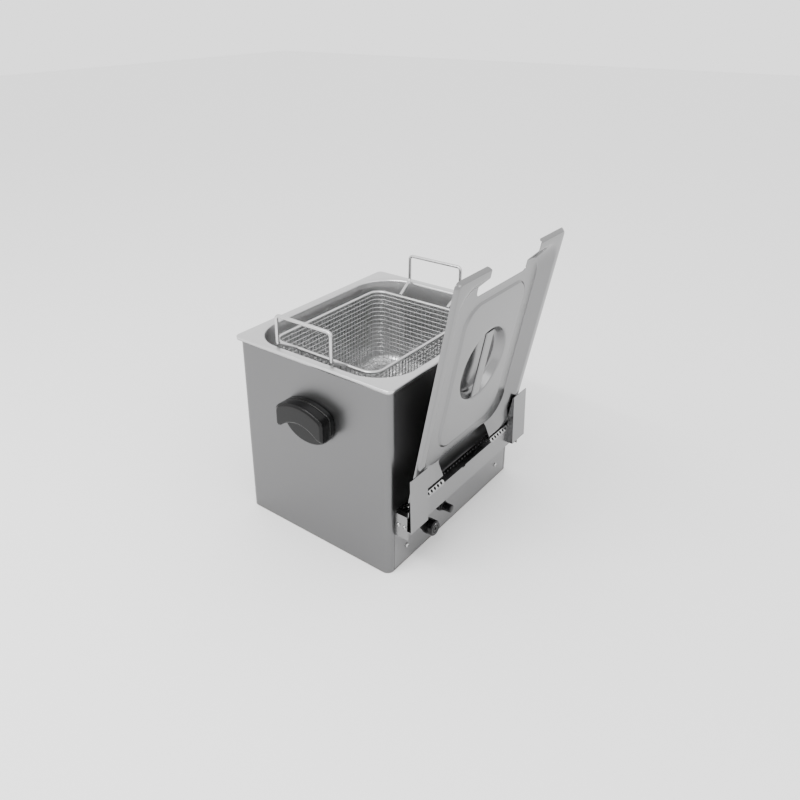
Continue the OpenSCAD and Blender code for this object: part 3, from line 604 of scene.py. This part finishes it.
def cut(piece, cutter, name):
    """The piece with the cutter's shape taken out of it."""
    saw = piece.modifiers.new("cut", "BOOLEAN")
    saw.operation = "DIFFERENCE"
    saw.solver = "EXACT"
    saw.object = cutter
    made = baked(piece, name)
    bpy.data.objects.remove(cutter)
    return made


for depth, toward in ((upper_notch_depth, 1), (lower_notch_depth, -1)):
    outline = notch_outline(toward * (lid_half_l - depth), toward * lid_half_l, toward)
    lid = cut(lid, prism("notch", outline, cutter_low, cutter_high, on_lid), "lid_pressing")
lid.data.set_sharp_from_angle(angle=radians(40))
lid_steel = steel("lid_steel", (0.215, 0.215, 0.217), 0.22, grain=(220, 4, 4), relief=0.015)
paint(lid, lid_steel)
# The lid's back faces take a second, rougher copy of the lid's steel, as on an unpolished back side; its much
# lighter colour is painted light, so that the lid's reflection in the cabinet front beside it shows brighter.
lid_back_painted_light = steel("lid_back_painted_light", (0.5, 0.5, 0.503), 0.45, grain=(220, 4, 4), relief=0.015)
lid.data.materials.append(lid_back_painted_light)
lid_out = Vector(on_lid(0, 0, 1)) - Vector(on_lid(0, 0, 0))
faces_inward = -0.2
for face in lid.data.polygons:
    if face.normal.dot(lid_out) < faces_inward:
        face.material_index = 1
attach(lid, "lid_body")
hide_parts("lid")

bar_half = 9.5
bar_reach = 49.5
bar_foot, bar_side, bar_top = lid_panel_z - 3.2, lid_panel_z - 1.2, lid_panel_z - 0.2
bar_chamfer, bar_round = 1.2, 0.6
bar_profile = [(-bar_half, bar_foot), (-bar_half, bar_side), (-bar_half + bar_chamfer, bar_top),
               (bar_half - bar_chamfer, bar_top), (bar_half, bar_side), (bar_half, bar_foot)]
grip_bar = prism("lid_grip_bar_strip", bar_profile, -bar_reach, bar_reach, lambda x, z, y: on_lid(x, y, z))
round_over = grip_bar.modifiers.new("round", "BEVEL")
round_over.width = bar_round * MM
round_over.segments = 2
grip_bar = baked(grip_bar, "lid_grip_bar_strip")
paint(grip_bar, lid_steel)
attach(grip_bar, "lid_body")
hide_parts("lid_grip_bar")


# Lid holder. Bright folded sheet: a trough along the front, two short slanted strips with vent holes, two
# end plates and two upright ears, screwed to the cabinet with small pan-head screws.
holder_steel = steel("holder_steel", (0.22, 0.22, 0.222), 0.24, grain=(3, 3, 260))
strip_steel = steel("strip_steel", (0.45, 0.45, 0.45), 0.1, grain=(3, 3, 260))
for node in ("holder_trough", "holder_end_left", "holder_end_right", "holder_ear_left", "holder_ear_right"):
    paint(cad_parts[node], holder_steel)
paint(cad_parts["holder_vent_strip"], strip_steel)
bright_screw = steel("bright_screw", (0.42, 0.42, 0.42), 0.2, grain=(50, 50, 50))
for node in ("handle_screws", "handle_washers"):
    paint(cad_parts[node], bright_screw)

seat_tree = bpy.data.node_groups.new("screws_in_seats", "GeometryNodeTree")
socket(seat_tree, "Seats", "Geometry")
seat_head_input = socket(seat_tree, "Head", "Object")
seat_width_input = socket(seat_tree, "Head Width", "Float")
seat_finish_input = socket(seat_tree, "Finish", "Material")
socket(seat_tree, "Screws", "Geometry", "OUTPUT")
seat_in = seat_tree.nodes.new("NodeGroupInput")
seat_out = seat_tree.nodes.new("NodeGroupOutput")
head_info = seat_tree.nodes.new("GeometryNodeObjectInfo")
aim = seat_tree.nodes.new("GeometryNodeInputNamedAttribute")
aim.data_type = "FLOAT_VECTOR"
aim.inputs["Name"].default_value = "aim"
turn = seat_tree.nodes.new("FunctionNodeAlignRotationToVector")
turn.axis = "Z"
set_in = seat_tree.nodes.new("GeometryNodeInstanceOnPoints")
fix = seat_tree.nodes.new("GeometryNodeRealizeInstances")
plate_up = seat_tree.nodes.new("GeometryNodeSetMaterial")
join(seat_tree, (seat_in, "Seats", set_in, "Points"), (seat_in, "Head", head_info, "Object"),
     (head_info, "Geometry", set_in, "Instance"), (aim, "Attribute", turn, "Vector"),
     (turn, "Rotation", set_in, "Rotation"), (seat_in, "Head Width", set_in, "Scale"),
     (set_in, "Instances", fix, "Geometry"), (fix, "Geometry", plate_up, "Geometry"),
     (seat_in, "Finish", plate_up, "Material"), (plate_up, "Geometry", seat_out, "Screws"))


def screw_head(steps=32):
    """A domed head one unit wide that faces +Z, with a cross slot."""
    dome = [(0.5, -0.02), (0.5, 0.12), (0.48, 0.2), (0.41, 0.29), (0.3, 0.36), (0.16, 0.4)]
    mesh = bmesh.new()
    loops = [[mesh.verts.new((r * cos(2 * pi * i / steps), r * sin(2 * pi * i / steps), z))
              for i in range(steps)] for r, z in dome]
    bridge(mesh, loops)
    mesh.faces.new(loops[0][::-1])
    mesh.faces.new(loops[-1])
    head = solid("screw_head", mesh)
    for long, wide in ((270, 55), (55, 270)):
        slot = prism("slot", [(-long, -wide), (long, -wide), (long, wide), (-long, wide)], 200, 600,
                     lambda x, y, z: (x, y, z))
        head = cut(head, slot, "screw_head")
    for face in head.data.polygons:
        face.use_smooth = True
    head.data.set_sharp_from_angle(angle=radians(32))
    return head


def screws(name, seats, width, head, node):
    """One piece of equal screws: seats are (place in millimetres, direction that the head faces)."""
    data = bpy.data.meshes.new(name)
    data.from_pydata([Vector(place) * MM for place, facing in seats], [], [])
    facings = data.attributes.new("aim", "FLOAT_VECTOR", "POINT")
    for point, (place, facing) in zip(facings.data, seats):
        point.vector = facing
    piece = placed(name, data)
    drive = piece.modifiers.new("drive", "NODES")
    drive.node_group = seat_tree
    drive[seat_head_input] = head
    drive[seat_width_input] = width * MM
    drive[seat_finish_input] = bright_screw
    piece = baked(piece, name)
    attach(piece, "fryer")
    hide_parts(node)


domed_head = screw_head()
panel_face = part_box("front_panel")[0].y / MM
screw_low, screw_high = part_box("panel_screws")
panel_head = 6.4
panel_seats = [((x, panel_face, z), (0, -1, 0))
               for x in (screw_low.x / MM + panel_head / 2, screw_high.x / MM - panel_head / 2)
               for z in (screw_low.z / MM + panel_head / 2, screw_high.z / MM - panel_head / 2)]
screws("panel_screw_heads", panel_seats, panel_head, domed_head, "panel_screws")
end_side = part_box("holder_end_right")[1].x / MM
end_head = 5.6
end_screw_z = 79
end_screw_reaches = (6, 15.5)
end_seats = [((side * end_side, panel_face - reach, end_screw_z), (side, 0, 0))
             for side in (-1, 1) for reach in end_screw_reaches]
wall_screw_inset, wall_screw_drop, trough_back = 41, 3.2, 1.2
wall_screw_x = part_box("cabinet_shell")[1].x / MM - wall_screw_inset
wall_screw_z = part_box("holder_screws")[1].z / MM - wall_screw_drop
wall_seats = [((side * wall_screw_x, panel_face - trough_back, wall_screw_z), (0, -1, 0)) for side in (-1, 1)]
screws("holder_screw_heads", end_seats + wall_seats, end_head, domed_head, "holder_screws")
bpy.data.objects.remove(domed_head)


# Side handles. Glossy black phenolic mouldings in two parts, a back plate with a round lower edge and a
# hooded front with a finger hollow, held by two screws each from inside the cabinet.
handle_half, handle_top = 41.0, 223
shoulder_size, top_rise = 14, 8.0
plate_foot, plate_side = 160.5, 187.0
hood_foot, hood_inner_foot, hood_wall = 182.0, 181.9, 8
hollow_rise, hollow_edge = 13.5, 7


def mirrored_outline(right_half):
    """The whole of an outline that is even about its middle."""
    return right_half + [(-y, z) for y, z in right_half[::-1] if y > 1e-6]


def handle_top_half(inset, steps=8):
    """Right half of the arched top edge, from the side up to the middle."""
    half = handle_half - inset
    top = handle_top - inset
    shoulder = shoulder_size - inset * 0.6
    side_top = top - top_rise - shoulder * 0.75
    points = []
    for i in range(steps + 1):
        a = radians(62) * i / steps
        points.append((half - shoulder * (1 - cos(a)), side_top + shoulder * 0.85 * sin(a)))
    last_y, last_z = points[-1]
    for i in range(1, 2 * steps + 1):
        y = last_y * (1 - i / (2 * steps))
        points.append((y, last_z + (top - last_z) * (1 - (y / last_y) ** 2)))
    return points


def plate_outline(inset, steps=12):
    """The back plate: a round lower edge under the arched top."""
    half = handle_half - inset
    low = plate_foot + inset
    right_half = []
    for i in range(steps + 1):
        y = half * i / steps
        right_half.append((y, low + (plate_side - low) * (1 - sqrt(1 - min(y / half, 1) ** 2 * 0.96)) / 0.8))
    return mirrored_outline(right_half + handle_top_half(inset))


def hood_outline(inset):
    """The hood: an arched band that is open below."""
    outer = mirrored_outline([(handle_half - inset, hood_foot + inset)] + handle_top_half(inset))
    inner = mirrored_outline([(handle_half - hood_wall, hood_inner_foot + inset)]
                             + handle_top_half(hood_wall))
    return outer + inner[::-1]


def lip_outline(inset, steps=8):
    """The hood's front: its lower edge arches up into the finger hollow."""
    half = handle_half - inset
    right_half = []
    for i in range(steps + 1):
        y = (half - hollow_edge) * i / steps
        rise = (hollow_rise - 0.3 * inset) * (1 - (y / (half - hollow_edge)) ** 2)
        right_half.append((y, hood_foot + inset + rise))
    right_half.append((half - 2, hood_foot - 1 + inset))
    return mirrored_outline(right_half + [(half, hood_foot + 1 + inset)] + handle_top_half(inset))


handle_black = bpy.data.materials.new("handle_black")
handle_black.use_nodes = True
black_shader = handle_black.node_tree.nodes["Principled BSDF"]
black_shader.inputs["Base Color"].default_value = (0.002, 0.002, 0.0021, 1)
black_shader.inputs["Specular IOR Level"].default_value = 0.22
black_place = handle_black.node_tree.nodes.new("ShaderNodeTexCoord")
black_grain = handle_black.node_tree.nodes.new("ShaderNodeTexNoise")
black_grain.inputs["Scale"].default_value = 90
black_range = handle_black.node_tree.nodes.new("ShaderNodeMapRange")
black_range.inputs["To Min"].default_value = 0.07
black_range.inputs["To Max"].default_value = 0.17
join(handle_black.node_tree, (black_place, "Object", black_grain, "Vector"),
     (black_grain, "Fac", black_range, "Value"), (black_range, "Result", black_shader, "Roughness"))


cad_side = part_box("cabinet_shell")[1].x / MM


def moulded(name, layers, side, voxel=0.7, passes=6):
    """Layers of (outline, from, to), measured out from the cabinet, melted into one rounded moulding."""
    parts = [prism(name, outline, a, b, lambda y, z, x: (side * (cad_side + x), y, z))
             for outline, a, b in layers]
    mesh = bmesh.new()
    for part in parts:
        mesh.from_mesh(part.data)
        bpy.data.objects.remove(part)
    piece = solid(name, mesh)
    melt = piece.modifiers.new("melt", "REMESH")
    melt.mode = "VOXEL"
    melt.voxel_size = voxel * MM
    melt.use_smooth_shade = True
    relax = piece.modifiers.new("relax", "SMOOTH")
    relax.factor = 0.5
    relax.iterations = passes
    return baked(piece, name)


for side, node in ((-1, "side_handle_left"), (1, "side_handle_right")):
    plate = moulded(node + "_plate", [(plate_outline(0.8), 0.0, 9.3), (plate_outline(0), 0.9, 8.4)], side)
    hood = moulded(node + "_hood", [
        (hood_outline(0.9), 9.0, 23.0),
        (hood_outline(0), 10.2, 22.6),
        (lip_outline(0.9), 18.6, 24.6),
        (lip_outline(0), 19.4, 23.6),
        (lip_outline(2.6), 19.4, 25.7),
    ], side)
    for piece in (plate, hood):
        paint(piece, handle_black)
        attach(piece, "fryer")
        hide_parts(node)


# Controls. A black moulded gas knob with a dished face on the valve's spindle, and beside it a piezo spark
# button that slides in a round panel nut.
def turned(name, profile, base, finish, steps=64):
    """A turned piece that points to the front: profile is (radius, distance from the panel)."""
    mesh = bmesh.new()
    loops = []
    for r, z in profile:
        ring = [(base[0] + r * cos(2 * pi * i / steps), base[1] - z, base[2] + r * sin(2 * pi * i / steps))
                for i in range(steps)]
        loops.append([mesh.verts.new(Vector(point) * MM) for point in ring])
    bridge(mesh, loops)
    mesh.faces.new(loops[0])
    mesh.faces.new(loops[-1][::-1])
    piece = solid(name, mesh)
    for face in piece.data.polygons:
        face.use_smooth = len(face.vertices) == 4
    piece.data.set_sharp_from_angle(angle=radians(35))
    paint(piece, finish)
    return piece


knob_black = handle_black.copy()
knob_black.name = "knob_black"
knob_low, knob_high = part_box("control_knob")
knob_axis = ((knob_low.x + knob_high.x) / 2 / MM, panel_face, (knob_low.z + knob_high.z) / 2 / MM)
knob_r = (knob_high.x - knob_low.x) / 2 / MM
knob_back = panel_face - knob_high.y / MM
knob_face = panel_face - knob_low.y / MM
knob_profile = [
    (3.3, knob_back + 9), (3.3, knob_back), (knob_r - 2.6, knob_back), (knob_r - 2.2, knob_back + 0.5),
    (knob_r - 2.0, knob_back + 3), (knob_r - 0.4, knob_back + 5), (knob_r, knob_back + 6.2),
    (knob_r, knob_face - 2.2), (knob_r - 0.4, knob_face - 1.0), (knob_r - 1.0, knob_face - 0.25),
    (knob_r - 1.5, knob_face), (knob_r - 1.9, knob_face - 0.5), (knob_r * 0.56, knob_face - 0.5),
    (knob_r * 0.53, knob_face - 1.2), (knob_r * 0.47, knob_face - 1.2), (knob_r * 0.44, knob_face - 0.4),
    (2.3, knob_face - 0.4), (2.0, knob_face - 1.6), (0.5, knob_face - 1.6)]
knob = turned("gas_knob", knob_profile, knob_axis, knob_black)
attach(knob, "knob")
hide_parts("control_knob")
marker_white = bpy.data.materials.new("marker_white")
marker_white.use_nodes = True
marker_white.node_tree.nodes["Principled BSDF"].inputs["Base Color"].default_value = (0.2, 0.2, 0.2, 1)
paint(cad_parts["knob_indicator"], marker_white)

nut_low, nut_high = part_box("igniter_nut")
button_low, button_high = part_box("igniter_button")
spark_axis = ((nut_low.x + nut_high.x) / 2 / MM, panel_face, (nut_low.z + nut_high.z) / 2 / MM)
nut_r = (nut_high.x - nut_low.x) / 2 / MM
button_r = (button_high.x - button_low.x) / 2 / MM
button_face = panel_face - button_low.y / MM
nut_profile = [(nut_r - 0.2, 0), (nut_r, 0.4), (nut_r, 2.4), (nut_r - 1.6, 3.6), (nut_r - 1.8, 5.2),
               (nut_r - 2.6, 6.0), (button_r + 0.3, 6.0), (button_r + 0.3, 1.0)]
spark_nut = turned("spark_nut", nut_profile, spark_axis, knob_black)
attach(spark_nut, "fryer")
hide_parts("igniter_nut")
button_profile = [(button_r, -14), (button_r, button_face - 1.2), (button_r - 0.4, button_face - 0.4),
                  (button_r - 1.2, button_face), (0.6, button_face - 0.3)]
spark_button = turned("spark_button", button_profile, spark_axis, knob_black)
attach(spark_button, "igniter")
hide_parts("igniter_button")
paint(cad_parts["igniter_body"], knob_black)


# Gas train and burner. Brass valve, injectors and inlet, bright copper pipe, heat-dulled steel burner
# tubes, a white ceramic spark electrode and a red silicone lead, all inside the cabinet.
brass = steel("brass", (0.62, 0.45, 0.2), 0.3, grain=(50, 50, 50))
copper = steel("copper", (0.62, 0.32, 0.18), 0.3, grain=(50, 50, 50), cloud=0.2)


def plain(name, colour, rough):
    """A plain finish with a faint mottle in its gloss."""
    m = bpy.data.materials.new(name)
    m.use_nodes = True
    shader = m.node_tree.nodes["Principled BSDF"]
    shader.inputs["Base Color"].default_value = (*colour, 1)
    place = m.node_tree.nodes.new("ShaderNodeTexCoord")
    mottle = m.node_tree.nodes.new("ShaderNodeTexNoise")
    mottle.inputs["Scale"].default_value = 120
    spread = m.node_tree.nodes.new("ShaderNodeMapRange")
    spread.inputs["To Min"].default_value = rough - 0.08
    spread.inputs["To Max"].default_value = rough + 0.08
    join(m.node_tree, (place, "Object", mottle, "Vector"), (mottle, "Fac", spread, "Value"),
         (spread, "Result", shader, "Roughness"))
    return m


ceramic = plain("ceramic", (0.8, 0.78, 0.72), 0.3)
lead_sleeve = plain("lead_sleeve", (0.5, 0.03, 0.02), 0.5)
for node in ("gas_valve", "valve_spindle", "gas_injectors", "gas_inlet"):
    paint(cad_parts[node], brass)
for node in ("gas_pipe", "gas_manifold", "thermocouple", "thermocouple_lead"):
    paint(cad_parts[node], copper)
for node in ("burner_left", "burner_right", "burner_supports", "probe_bracket"):
    paint(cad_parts[node], dull_steel)
paint(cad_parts["spark_electrode"], ceramic)
paint(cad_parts["ignition_lead"], lead_sleeve)
